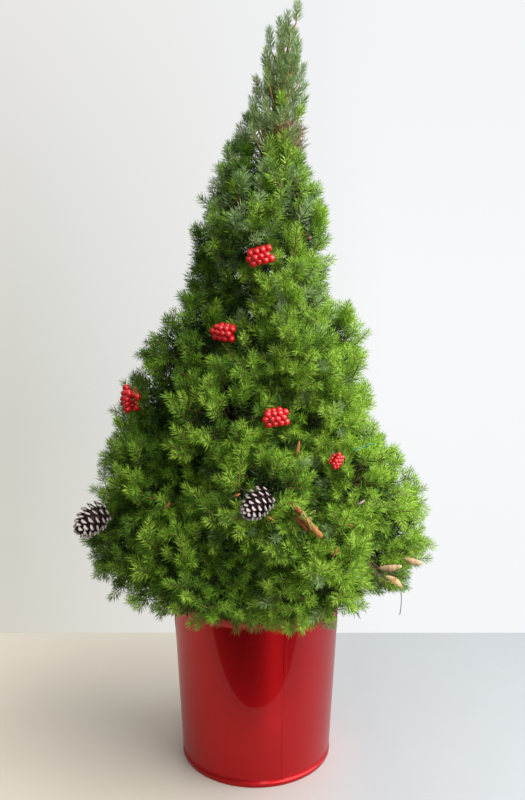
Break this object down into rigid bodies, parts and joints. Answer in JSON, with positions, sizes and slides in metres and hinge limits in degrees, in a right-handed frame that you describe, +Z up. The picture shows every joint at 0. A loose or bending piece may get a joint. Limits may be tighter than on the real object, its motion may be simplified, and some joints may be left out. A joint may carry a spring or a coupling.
{
  "type": "potted dwarf conifer",
  "caption": "Small cone-shaped spruce in a round red tin pot, with a straight trunk, short boughs and dense masses of short needles, leaning a little at its tip.",
  "frame": {"origin": "middle of the pot's flat underside, at the level that it stands on", "axes": "+Z up along the trunk, -Y towards the side that is seen from the front, +X to that viewer's right"},
  "size_m": [0.463, 0.4403, 0.968],
  "materials": {
    "red_lacquer": "gloss",
    "potting_soil": "matte",
    "bark": "matte",
    "needles": "matte"
  },
  "bodies": {
    "root": {"pot": "red_lacquer", "pot_seam": "red_lacquer", "soil": "potting_soil", "trunk": "bark", "bough_skirt_1": "bark", "bough_skirt_2": "bark", "bough_skirt_3": "bark", "bough_skirt_4": "bark", "bough_skirt_5": "bark", "bough_skirt_6": "bark", "bough_low_1": "bark", "bough_low_2": "bark", "bough_low_3": "bark", "bough_low_4": "bark", "bough_low_5": "bark", "bough_low_6": "bark", "bough_middle_1": "bark", "bough_middle_2": "bark", "bough_middle_3": "bark", "bough_middle_4": "bark", "bough_middle_5": "bark", "bough_upper_1": "bark", "bough_upper_2": "bark", "bough_upper_3": "bark", "bough_upper_4": "bark", "needles_skirt_1": "needles", "needles_skirt_2": "needles", "needles_skirt_3": "needles", "needles_skirt_4": "needles", "needles_skirt_5": "needles", "needles_skirt_6": "needles", "needles_low_1": "needles", "needles_low_2": "needles", "needles_low_3": "needles", "needles_low_4": "needles", "needles_low_5": "needles", "needles_low_6": "needles", "needles_middle_1": "needles", "needles_middle_2": "needles", "needles_middle_3": "needles", "needles_middle_4": "needles", "needles_middle_5": "needles", "needles_upper_1": "needles", "needles_upper_2": "needles", "needles_upper_3": "needles", "needles_upper_4": "needles", "needles_shoulder_1": "needles", "needles_shoulder_2": "needles", "needles_shoulder_3": "needles", "needles_neck_1": "needles", "needles_neck_2": "needles", "needles_neck_3": "needles", "needles_collar_1": "needles", "needles_collar_2": "needles", "needles_collar_3": "needles", "needles_spire_1": "needles", "needles_spire_2": "needles", "needles_plume_1": "needles", "needles_plume_2": "needles", "needles_tip": "needles"}
  },
  "joints": []
}
